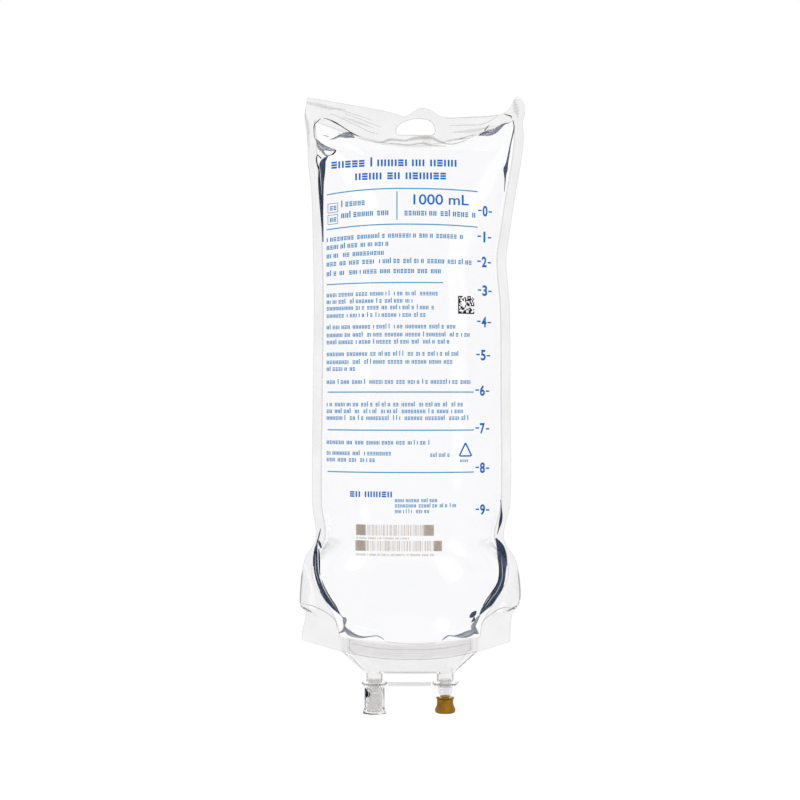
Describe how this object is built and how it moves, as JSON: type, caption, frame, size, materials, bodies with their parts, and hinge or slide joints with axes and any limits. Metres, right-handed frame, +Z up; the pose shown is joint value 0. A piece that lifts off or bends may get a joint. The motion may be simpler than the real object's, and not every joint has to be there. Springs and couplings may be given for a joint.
{
  "type": "iv fluid bag",
  "caption": "Clear hanging infusion bag full of saline, with a hang slot at the top and a moulded port boat with a capped spike port and a needle port at the bottom.",
  "frame": {"origin": "the crown of the hang slot, the point of its upper edge that bears on the hook", "axes": "+Z up along the hanging bag, with the ports at the bottom; the printed face looks along -Y; +X is to the right of someone facing the print"},
  "size_m": [0.1325, 0.0584, 0.3645],
  "materials": {
    "film": "clear gloss",
    "saline": "clear liquid",
    "moulding": "milky satin",
    "clear_tube": "clear gloss",
    "septum": "satin"
  },
  "bodies": {
    "bag": {"front_film": "film", "back_film": "film", "saline_solution": "saline", "port_moulding": "moulding", "set_port_tube": "clear_tube", "med_port_tube": "clear_tube", "med_port_septum": "septum"},
    "protector": {"set_port_protector": "clear_tube"}
  },
  "joints": [
    {"name": "protector_pull_off", "type": "slide", "parent": "bag", "child": "protector", "axis": [0, 0, -1], "range_m": [0, 0.025]}
  ]
}
